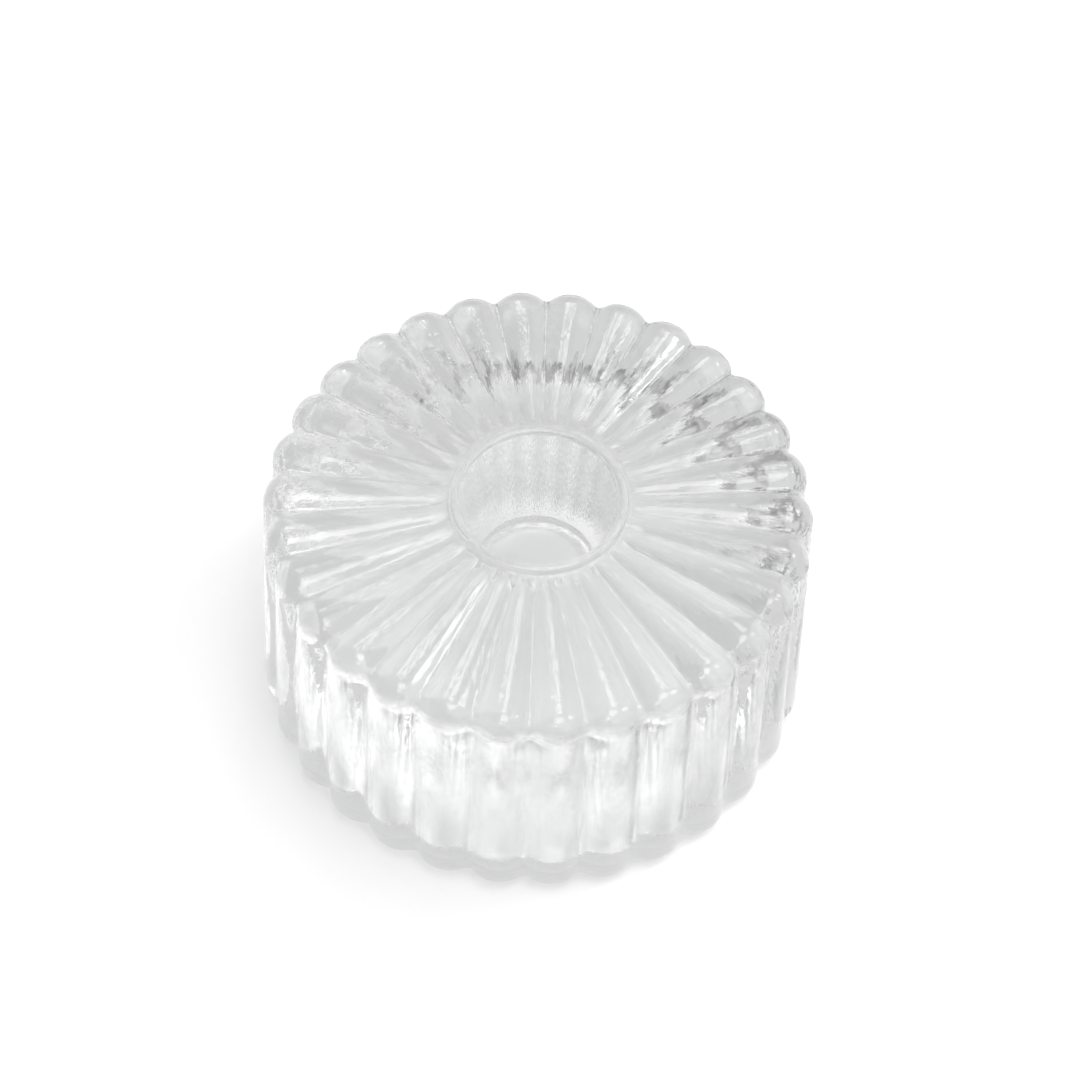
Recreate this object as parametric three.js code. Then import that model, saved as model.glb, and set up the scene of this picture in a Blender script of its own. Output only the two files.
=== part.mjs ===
// Dappen dish for nail work: one heavy pressing of clear glass. Thirty convex ribs run up its wall,
// over a rounded rim and in across its top as petals, and stop at a plain collar round a small well.
// The base is slightly hollow, so the dish stands on a flat ring.
// Millimetres, +Z up. The origin is the centre of the ring the dish stands on.

import * as THREE from 'three';

// Driving dimensions
const FOOT_RADIUS = 30; // over the crests of the ribs, low on the wall
const RIM_RADIUS = 28.8; // over the crests, at the top of the wall
const DISH_HEIGHT = 31.2; // table to the top of the rim and of the collar
const RIB_COUNT = 30;
const RIB_RELIEF = 1.05; // how far a crest stands out of the valleys beside it, on the wall
const PETAL_RELIEF = 0.92; // the same at the outer end of a petal
const RIB_BACK_RADIUS = 4; // roundness of a rib's back
const VALLEY_EASE = 0.2; // the share of a rib's flank that flattens out into the valley
const FOOT_ROUND = 3; // rounding between wall and base
const RIM_ROUND = 2.6; // rounding between wall and top
const PETAL_FALL = 0.4; // how much lower the petals lie at the collar than at the rim
const COLLAR_RADIUS = 8.85; // middle of the rounded lip of the well
const COLLAR_WIDTH = 1.15;
const COLLAR_FLANK = 0.95; // between the collar and the inner ends of the petals
const WELL_BOTTOM_RADIUS = 6.4; // where the well's wall runs into its fillet
const WELL_DEPTH = 13.8; // top of the collar to the floor of the well
const WELL_FILLET = 1.9;
const HOLLOW_RADIUS = 21; // shallow hollow under the base
const HOLLOW_DEPTH = 1.5;

// How finely the solid is faceted
const STEPS_ACROSS_RIB = 6;
const STEPS_ACROSS_HOLLOW = 4;
const STEPS_ROUND_FOOT = 4;
const STEPS_ROUND_RIM = 6;
const STEPS_ALONG_PETAL = 3;
const STEPS_OVER_COLLAR = 4;
const STEPS_ROUND_FILLET = 3;

// Where a petal starts and ends, and how steeply it falls between
const PETAL_OUTER = RIM_RADIUS - RIM_ROUND;
const PETAL_INNER = COLLAR_RADIUS + COLLAR_WIDTH / 2 + COLLAR_FLANK;
const PETAL_SLOPE = THREE.MathUtils.radToDeg(Math.atan(PETAL_FALL / (PETAL_OUTER - PETAL_INNER)));

// A station is one ring of the outline: where it lies on the crests and where in the valleys
function station(crest, valley = crest) {
  return { crest, valley };
}

// Stations along an arc about a centre, from one angle to another (0 points outwards, 90 up)
function arcStations(centre, radius, fromDegrees, toDegrees, steps, toValley = () => [0, 0]) {
  const stations = [];
  for (let i = 0; i <= steps; i++) {
    const angle = THREE.MathUtils.degToRad(THREE.MathUtils.lerp(fromDegrees, toDegrees, i / steps));
    const [dr, dz] = toValley(angle);
    const crest = new THREE.Vector2(
      centre.x + radius * Math.cos(angle),
      centre.y + radius * Math.sin(angle)
    );
    stations.push(station(crest, new THREE.Vector2(crest.x + dr, crest.y + dz)));
  }
  return stations;
}

// The underside is a shallow bowl, deepest at the axis
function hollowStations() {
  const stations = [];
  for (let i = 0; i <= STEPS_ACROSS_HOLLOW; i++) {
    const outwards = i / STEPS_ACROSS_HOLLOW;
    const height = HOLLOW_DEPTH * (1 - outwards ** 2);
    stations.push(station(new THREE.Vector2(HOLLOW_RADIUS * outwards, height)));
  }
  return stations;
}

// The ribs keep their depth round the foot, so the edge of the base is scalloped
function footStations() {
  const centre = new THREE.Vector2(FOOT_RADIUS - FOOT_ROUND, FOOT_ROUND);
  return arcStations(centre, FOOT_ROUND, -90, 0, STEPS_ROUND_FOOT, () => [-RIB_RELIEF, 0]);
}

// Over the rim the valleys lie square to the rounding under the crests
function rimStations() {
  const centre = new THREE.Vector2(RIM_RADIUS - RIM_ROUND, DISH_HEIGHT - RIM_ROUND);
  const intoGlass = (angle) => {
    const relief = THREE.MathUtils.lerp(RIB_RELIEF, PETAL_RELIEF, Math.min(1, angle / (Math.PI / 2)));
    return [-relief * Math.cos(angle), -relief * Math.sin(angle)];
  };
  return arcStations(centre, RIM_ROUND, 0, 90 + PETAL_SLOPE, STEPS_ROUND_RIM, intoGlass);
}

// A petal narrows and gets shallower towards the collar
function petalStations() {
  const stations = [];
  for (let i = 1; i <= STEPS_ALONG_PETAL; i++) {
    const along = i / STEPS_ALONG_PETAL;
    const radius = THREE.MathUtils.lerp(PETAL_OUTER, PETAL_INNER, along);
    const height = DISH_HEIGHT - PETAL_FALL * along;
    const relief = PETAL_RELIEF * (radius / PETAL_OUTER);
    stations.push(station(new THREE.Vector2(radius, height), new THREE.Vector2(radius, height - relief)));
  }
  return stations;
}

function collarStations() {
  const lipRadius = COLLAR_WIDTH / 2;
  const centre = new THREE.Vector2(COLLAR_RADIUS, DISH_HEIGHT - lipRadius);
  return arcStations(centre, lipRadius, 0, 180, STEPS_OVER_COLLAR);
}

function wellStations() {
  const floorHeight = DISH_HEIGHT - WELL_DEPTH;
  const centre = new THREE.Vector2(WELL_BOTTOM_RADIUS - WELL_FILLET, floorHeight + WELL_FILLET);
  return [
    ...arcStations(centre, WELL_FILLET, 0, -90, STEPS_ROUND_FILLET),
    station(new THREE.Vector2(0, floorHeight)),
  ];
}

// How far a rib's back has dropped, from its crest (0 across) to the valley beside it (1 across)
function ribDrop(across) {
  const halfWidth = FOOT_RADIUS * Math.sin(Math.PI / RIB_COUNT);
  const onBack = Math.min(across, 1 - VALLEY_EASE);
  const chord = Math.sqrt(RIB_BACK_RADIUS ** 2 - (onBack * halfWidth) ** 2);
  const steepness = (onBack * halfWidth ** 2) / chord;
  const intoValley = (across - onBack) / VALLEY_EASE;
  return RIB_BACK_RADIUS - chord + steepness * VALLEY_EASE * (intoValley - intoValley ** 2 / 2);
}

// 1 on the crests and 0 in the valleys
function ribArc(angle) {
  const pitch = (2 * Math.PI) / RIB_COUNT;
  const across = Math.abs(angle / pitch - Math.round(angle / pitch)) * 2;
  return 1 - ribDrop(across) / ribDrop(1);
}

// Spins the outline about the vertical axis, then sinks each point towards the valley outline
function ribbedLathe(stations) {
  const segments = RIB_COUNT * STEPS_ACROSS_RIB;
  const geometry = new THREE.LatheGeometry(
    stations.map(({ crest }) => crest),
    segments
  );
  const position = geometry.getAttribute('position');
  for (let i = 0; i <= segments; i++) {
    const angle = (i / segments) * 2 * Math.PI;
    const arc = ribArc(angle);
    stations.forEach(({ crest, valley }, j) => {
      const point = valley.clone().lerp(crest, arc);
      position.setXYZ(
        i * stations.length + j,
        point.x * Math.cos(angle),
        point.x * Math.sin(angle),
        point.y
      );
    });
  }
  geometry.computeVertexNormals();
  return geometry;
}

function glassDish() {
  const stations = [
    ...hollowStations(),
    ...footStations(),
    ...rimStations(),
    ...petalStations(),
    ...collarStations(),
    ...wellStations(),
  ];
  const clearGlass = new THREE.MeshStandardMaterial({
    color: 0xeaeff1,
    roughness: 0.05,
    metalness: 0,
    transparent: true,
    opacity: 0.35,
  });
  const dish = new THREE.Mesh(ribbedLathe(stations), clearGlass);
  dish.name = 'glass_dish';
  return dish;
}

const dappenDish = new THREE.Group();
dappenDish.add(glassDish());

export default dappenDish;
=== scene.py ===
from math import atan, atan2, cos, degrees, pi, radians, sin, sqrt

import bmesh
import bpy
from mathutils import Matrix, Vector


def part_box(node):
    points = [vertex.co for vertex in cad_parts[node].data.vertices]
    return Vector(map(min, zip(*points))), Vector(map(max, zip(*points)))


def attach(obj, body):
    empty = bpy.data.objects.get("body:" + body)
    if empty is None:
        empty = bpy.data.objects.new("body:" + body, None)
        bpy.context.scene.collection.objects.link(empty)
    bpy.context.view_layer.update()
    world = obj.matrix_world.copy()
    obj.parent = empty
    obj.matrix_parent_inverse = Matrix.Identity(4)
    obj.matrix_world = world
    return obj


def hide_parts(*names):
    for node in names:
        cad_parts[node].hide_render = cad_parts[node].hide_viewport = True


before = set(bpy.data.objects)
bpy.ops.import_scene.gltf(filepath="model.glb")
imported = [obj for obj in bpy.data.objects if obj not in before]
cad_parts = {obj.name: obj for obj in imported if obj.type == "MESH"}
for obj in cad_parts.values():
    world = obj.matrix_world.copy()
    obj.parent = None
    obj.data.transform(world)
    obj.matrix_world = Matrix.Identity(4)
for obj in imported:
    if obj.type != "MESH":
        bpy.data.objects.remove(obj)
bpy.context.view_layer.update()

mm = 0.001
print("frame loaded")


# a shader socket that can be used in plain expressions
class Shade:
    def __init__(self, tree, socket=None):
        self.tree = tree
        self.socket = socket

    # settings are set first, then inputs by name or number
    def node(self, kind, settings=None, inputs=None, output=0):
        made = self.tree.nodes.new(kind)
        for name, value in (settings or {}).items():
            setattr(made, name, value)
        for name, value in (inputs or {}).items():
            if isinstance(value, Shade):
                self.tree.links.new(value.socket, made.inputs[name])
            else:
                made.inputs[name].default_value = value
        return Shade(self.tree, made.outputs[output])

    def maths(self, operation, a, b):
        return self.node("ShaderNodeMath", {"operation": operation}, {0: a, 1: b})

    def __add__(self, other):
        return self.maths("ADD", self, other)

    def __sub__(self, other):
        return self.maths("SUBTRACT", self, other)

    def __rsub__(self, other):
        return self.maths("SUBTRACT", other, self)

    def __mul__(self, other):
        return self.maths("MULTIPLY", self, other)

    __radd__ = __add__
    __rmul__ = __mul__

    def feed(self, shader, name):
        self.tree.links.new(self.socket, shader.inputs[name])


def newMaterial(name, settings):
    material = bpy.data.materials.new(name)
    material.use_nodes = True
    shader = material.node_tree.nodes["Principled BSDF"]
    for socket, value in settings.items():
        shader.inputs[socket].default_value = value
    return material, Shade(material.node_tree), shader


def newPiece(name, bm, material):
    mesh = bpy.data.meshes.new(name)
    bm.to_mesh(mesh)
    bm.free()
    mesh.materials.append(material)
    piece = bpy.data.objects.new(name, mesh)
    bpy.context.scene.collection.objects.link(piece)
    return piece


# draws an open outline in the XZ plane, as a run of straight lines and round arcs
class Outline:
    def __init__(self, bm, x, z):
        self.bm = bm
        self.tip = bm.verts.new((x, 0, z))

    def line(self, x, z, steps=1):
        step = (Vector((x, 0, z)) - self.tip.co) / steps
        for i in range(steps):
            start = self.tip.co.copy()
            made = bmesh.ops.extrude_vert_indiv(self.bm, verts=[self.tip])
            self.tip = made["verts"][0]
            self.tip.co = start + step

    def arc(self, x, z, degrees, steps):
        made = bmesh.ops.spin(self.bm, geom=[self.tip], cent=(x, 0, z), axis=(0, -1, 0),
                              angle=radians(degrees), steps=steps)
        self.tip = [v for v in made["geom_last"] if isinstance(v, bmesh.types.BMVert)][0]


# the dish, in mm; its width and height come from the frame
dish = {
    "ribs": 30,
    "relief": 1.05,  # how far a crest stands out of its valleys, on the wall
    "petalRelief": 0.92,  # the same at the outer end of a petal
    "backRadius": 4.0,  # roundness of a rib's back
    "valleyEase": 0.2,  # the share of a rib's flank that flattens out into the valley
    "flare": 1.2,  # how much wider the foot is than the rim
    "footRound": 3.0,
    "rimRound": 2.6,
    "petalFall": 0.4,  # from the rim in to the collar
    "collarRadius": 8.85,
    "collarWidth": 1.15,
    "collarFlank": 0.95,
    "wellBottom": 6.4,
    "wellDepth": 13.8,
    "wellFillet": 1.9,
    "hollowRadius": 21.0,
    "hollowDepth": 1.5,
    "stepsAcrossRib": 18,
    "steps": {"hollow": 8, "base": 3, "foot": 10, "wall": 12, "rim": 18, "petal": 12,
              "flank": 2, "collar": 12, "well": 8, "fillet": 12, "floor": 4},
    "rimOverrun": 0.1,  # the rim's rounding ends past its top by less than this
    "closeTo": 0.01,  # points of the outline this near a place count as on it
    "mergeGap": 0.0005,
}


# how far a rib's back has dropped, from its crest (0 across) to its valley (1 across)
def ribDrop(across, footRadius):
    halfWidth = footRadius * sin(pi / dish["ribs"])
    back, ease = dish["backRadius"], dish["valleyEase"]
    onBack = min(across, 1 - ease)
    chord = sqrt(back ** 2 - (onBack * halfWidth) ** 2)
    steepness = onBack * halfWidth ** 2 / chord
    intoValley = (across - onBack) / ease
    return back - chord + steepness * ease * (intoValley - intoValley ** 2 / 2)


# the main places of the outline, from the box that the frame gives
def outlinePlaces():
    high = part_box("glass_dish")[1]
    footRadius, height = high.x / mm, high.z / mm
    rimRadius = footRadius - dish["flare"]
    lip = dish["collarWidth"] / 2
    return {
        "footRadius": footRadius,
        "height": height,
        "rimRadius": rimRadius,
        "rimX": rimRadius - dish["rimRound"],
        "rimZ": height - dish["rimRound"],
        "lip": lip,
        "petalInner": dish["collarRadius"] + lip + dish["collarFlank"],
        "floor": height - dish["wellDepth"],
    }


# how far a point of the outline sinks in a valley, outwards and down
def valleySink(x, z, places):
    relief, petalRelief = dish["relief"], dish["petalRelief"]
    rimX, rimZ = places["rimX"], places["rimZ"]
    if z > rimZ and x > rimX - dish["rimOverrun"]:
        turn = min(1, atan2(z - rimZ, x - rimX) / (pi / 2))
        depth = relief + (petalRelief - relief) * turn
        return depth * cos(turn * pi / 2), depth * sin(turn * pi / 2)
    if z > rimZ and x > places["petalInner"] - dish["closeTo"]:
        return 0, petalRelief * x / rimX
    flat = places["footRadius"] - dish["footRound"] - dish["hollowRadius"]
    outwards = (x - dish["hollowRadius"]) / flat
    if z < rimZ + dish["closeTo"] and outwards > 0:
        return relief * min(1, outwards), 0
    return 0, 0


# walks the outline from the middle of the base, up the wall, over the top and down into the well
def drawOutline(bm, places):
    steps = dish["steps"]
    footRadius, height, lip = places["footRadius"], places["height"], places["lip"]
    foot, fillet, collar = dish["footRound"], dish["wellFillet"], dish["collarRadius"]
    rimX, petalInner = places["rimX"], places["petalInner"]
    wellX, floor = dish["wellBottom"], places["floor"]
    petalSlope = atan(dish["petalFall"] / (rimX - petalInner))

    outline = Outline(bm, 0, dish["hollowDepth"])
    for step in range(1, steps["hollow"] + 1):
        outwards = step / steps["hollow"]
        outline.line(dish["hollowRadius"] * outwards, dish["hollowDepth"] * (1 - outwards ** 2))
    outline.line(footRadius - foot, 0, steps["base"])
    outline.arc(footRadius - foot, foot, 90, steps["foot"])
    outline.line(places["rimRadius"], places["rimZ"], steps["wall"])
    outline.arc(rimX, places["rimZ"], 90 + degrees(petalSlope), steps["rim"])
    outline.line(petalInner, height - dish["petalFall"], steps["petal"])
    outline.line(collar + lip, height - lip, steps["flank"])
    outline.arc(collar, height - lip, 180, steps["collar"])
    outline.line(wellX, floor + fillet, steps["well"])
    outline.arc(wellX - fillet, floor + fillet, -90, steps["fillet"])
    outline.line(0, floor, steps["floor"])


# the outline is spun round the axis, and the valleys are then pressed in between the crests
def buildDish(material):
    places = outlinePlaces()
    bm = bmesh.new()
    drawOutline(bm, places)

    sinkOut = bm.verts.layers.float.new("sinkOut")
    sinkDown = bm.verts.layers.float.new("sinkDown")
    for v in bm.verts:
        v[sinkOut], v[sinkDown] = valleySink(v.co.x, v.co.z, places)
    bmesh.ops.spin(bm, geom=bm.verts[:] + bm.edges[:], axis=(0, 0, 1), angle=2 * pi,
                   steps=dish["ribs"] * dish["stepsAcrossRib"], use_merge=True)
    pitch = 2 * pi / dish["ribs"]
    footRadius = places["footRadius"]
    for v in bm.verts:
        turns = atan2(v.co.y, v.co.x) / pitch
        sunk = ribDrop(abs(turns - round(turns)) * 2, footRadius) / ribDrop(1, footRadius)
        outwards = Vector((v.co.x, v.co.y, 0)).normalized()
        v.co -= (outwards * v[sinkOut] + Vector((0, 0, v[sinkDown]))) * sunk
    bmesh.ops.remove_doubles(bm, verts=bm.verts, dist=dish["mergeGap"])
    bmesh.ops.recalc_face_normals(bm, faces=bm.faces)
    bmesh.ops.scale(bm, verts=bm.verts, vec=(mm, mm, mm))
    for face in bm.faces:
        face.smooth = True
    return newPiece("pressedGlassDish", bm, material)


# heights in metres; the cloud and ripple scales are per metre
glass = {
    "ior": 1.51,
    "deepColour": (0.842, 0.847, 0.85, 1),
    "paleColour": (0.882, 0.886, 0.888, 1),
    "cloudScale": 45,  # soft clouding in the melt
    "cloudDetail": 2.0,
    "drawScale": 52,  # fine lines up the ribs and along the petals, per radian round the dish
    "drawDetail": 3.0,
    "drawLength": 28,  # how quickly a line changes along its length
    "drawHeight": 0.00005,
    "rippleScale": 420,  # the mould's skin, a few to the cm
    "rippleDetail": 1.0,
    "rippleHeight": 0.000012,
    "haze": 0.006,
    "footWear": 0.3,  # how rough the ring it stands on has worn
    "footWearHeight": 0.0006,
}


def clearGlass():
    settings = {"Transmission Weight": 1.0, "IOR": glass["ior"]}
    material, shade, shader = newMaterial("clearGlass", settings)
    place = shade.node("ShaderNodeTexCoord", output=3)
    melt = shade.node("ShaderNodeTexNoise", None,
                      {"Vector": place, "Scale": glass["cloudScale"],
                       "Detail": glass["cloudDetail"]})
    colour = shade.node("ShaderNodeMix", {"data_type": "RGBA"},
                        {0: melt, 6: glass["deepColour"], 7: glass["paleColour"]}, 2)
    colour.feed(shader, "Base Color")
    flat = shade.node("ShaderNodeVectorMath", {"operation": "MULTIPLY"},
                      {0: place, 1: (1, 1, 0)})
    outwards = shade.node("ShaderNodeVectorMath", {"operation": "NORMALIZE"}, {0: flat})
    reach = shade.node("ShaderNodeVectorMath", {"operation": "LENGTH"}, {0: place}, 1)
    outwardsX = shade.node("ShaderNodeSeparateXYZ", None, {0: outwards})
    outwardsY = shade.node("ShaderNodeSeparateXYZ", None, {0: outwards}, 1)
    along = shade.node("ShaderNodeCombineXYZ", None,
                       {0: outwardsX, 1: outwardsY, 2: reach * glass["drawLength"]})
    draw = shade.node("ShaderNodeTexNoise", None,
                      {"Vector": along, "Scale": glass["drawScale"],
                       "Detail": glass["drawDetail"]})
    ripple = shade.node("ShaderNodeTexNoise", None,
                        {"Vector": place, "Scale": glass["rippleScale"],
                         "Detail": glass["rippleDetail"]})
    height = draw * glass["drawHeight"] + ripple * glass["rippleHeight"]
    bump = shade.node("ShaderNodeBump", None, {"Strength": 1.0, "Distance": 1.0, "Height": height})
    bump.feed(shader, "Normal")
    up = shade.node("ShaderNodeSeparateXYZ", None, {0: place}, 2)
    worn = shade.node("ShaderNodeMapRange", None,
                      {"Value": up, 1: 0.0, 2: glass["footWearHeight"], 3: 1.0, 4: 0.0})
    (melt * glass["haze"] + worn * ripple * glass["footWear"]).feed(shader, "Roughness")
    return material


# plain white paper; it glows a little, as overlit paper does
table = {
    "halfSize": 2,
    "deepPaper": (0.72, 0.72, 0.72, 1),
    "palePaper": (0.76, 0.76, 0.76, 1),
    "grainScale": 900,
    "grainDetail": 3.0,
    "roughness": 0.9,
    "specular": 0.1,
    "glow": 0.3,
}


def layFloor():
    settings = {"Roughness": table["roughness"], "Specular IOR Level": table["specular"],
                "Emission Strength": table["glow"]}
    material, shade, shader = newMaterial("tablePaper", settings)
    place = shade.node("ShaderNodeTexCoord", output=3)
    grain = shade.node("ShaderNodeTexNoise", None,
                       {"Vector": place, "Scale": table["grainScale"],
                        "Detail": table["grainDetail"]})
    paper = shade.node("ShaderNodeMix", {"data_type": "RGBA"},
                       {0: grain, 6: table["deepPaper"], 7: table["palePaper"]}, 2)
    paper.feed(shader, "Base Color")
    bm = bmesh.new()
    bmesh.ops.create_grid(bm, x_segments=1, y_segments=1, size=table["halfSize"])
    newPiece("table", bm, material)


# a bright tent all round, with softly edged patches; angles in degrees, 0 is right and 270 front
studio = {
    "bounces": 32,
    "glossyBounces": 16,
    "tent": 1.05,
    "patches": [
        {"azimuth": 255, "elevation": 0, "half": 44, "edge": 7, "level": 0.2},
        {"azimuth": 97, "elevation": 21, "half": 3, "edge": 23, "level": 0.4},
        {"azimuth": 187, "elevation": 39, "half": 38, "edge": 12, "level": 0.04},
        {"azimuth": 92, "elevation": 55, "half": 24, "edge": 10, "level": 0.5},
        {"azimuth": 0, "elevation": 88, "half": 12, "edge": 8, "level": 4.5},
        {"azimuth": 332, "elevation": 58, "half": 27, "edge": 11, "level": 1.5},
        {"azimuth": 78, "elevation": 57, "half": 4, "edge": 3, "level": 12},
        {"azimuth": 104, "elevation": 49, "half": 3, "edge": 3, "level": 11},
        {"azimuth": 25, "elevation": 48, "half": 5, "edge": 3, "level": 8},
        {"azimuth": 150, "elevation": 60, "half": 5, "edge": 3, "level": 7},
        {"azimuth": 250, "elevation": 62, "half": 5, "edge": 3, "level": 7},
        {"azimuth": 270, "elevation": 47, "half": 6, "edge": 2, "level": 0},
    ],
}


def lightStudio():
    world = bpy.data.worlds.new("studio")
    world.use_nodes = True
    bpy.context.scene.world = world
    background = world.node_tree.nodes["Background"]
    shade = Shade(world.node_tree)
    direction = shade.node("ShaderNodeTexCoord", output=0)
    light = studio["tent"]
    for patch in studio["patches"]:
        azimuth, elevation = radians(patch["azimuth"]), radians(patch["elevation"])
        towards = (cos(azimuth) * cos(elevation), sin(azimuth) * cos(elevation), sin(elevation))
        facing = shade.node("ShaderNodeVectorMath", {"operation": "DOT_PRODUCT"},
                            {0: direction, 1: towards}, 1)
        inner = cos(radians(patch["half"]))
        outer = cos(radians(patch["half"] + patch["edge"]))
        cover = shade.node("ShaderNodeMapRange", {"interpolation_type": "SMOOTHSTEP"},
                           {"Value": facing, 1: outer, 2: inner, 3: 1.0, 4: patch["level"]})
        light = cover * light
    # the tent itself is plain white to look at; its patches show only in the glass and on the paper
    seen = shade.node("ShaderNodeLightPath")
    (light * (1 - seen) + seen * studio["tent"]).feed(background, "Color")


# the camera, in mm and degrees; it aims at the middle of the dish's top, a little aside
shot = {
    "distance": 288.5,
    "elevation": 55.5,
    "turn": -0.12,
    "lean": 2.4,
    "aimRight": 0.135,
    "aimUp": -4.5,
    "lens": 92.7,
    "nearClip": 10,
}


def placeCamera():
    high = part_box("glass_dish")[1]
    turn, elevation = radians(shot["turn"]), radians(shot["elevation"])
    back = Vector((sin(turn) * cos(elevation), -cos(turn) * cos(elevation), sin(elevation)))
    right = Vector((cos(turn), sin(turn), 0))
    lean = Matrix.Rotation(radians(shot["lean"]), 3, back)
    up = lean @ back.cross(right)
    right = lean @ right
    aim = Vector((0, 0, high.z)) + (right * shot["aimRight"] + up * shot["aimUp"]) * mm
    camera = bpy.data.objects.new("camera", bpy.data.cameras.new("camera"))
    bpy.context.scene.collection.objects.link(camera)
    turned = Matrix((right, up, back)).transposed().to_4x4()
    camera.matrix_world = Matrix.Translation(aim + back * shot["distance"] * mm) @ turned
    camera.data.lens = shot["lens"]
    camera.data.clip_start = shot["nearClip"] * mm
    bpy.context.scene.camera = camera


dishPiece = buildDish(clearGlass())
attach(dishPiece, "root")
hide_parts("glass_dish")
print("dish built:", len(dishPiece.data.polygons), "faces")

layFloor()
lightStudio()
placeCamera()
scene = bpy.context.scene
scene.view_settings.view_transform = "Standard"
scene.cycles.max_bounces = studio["bounces"]
scene.cycles.transmission_bounces = studio["bounces"]
scene.cycles.glossy_bounces = studio["glossyBounces"]
print("studio lit")
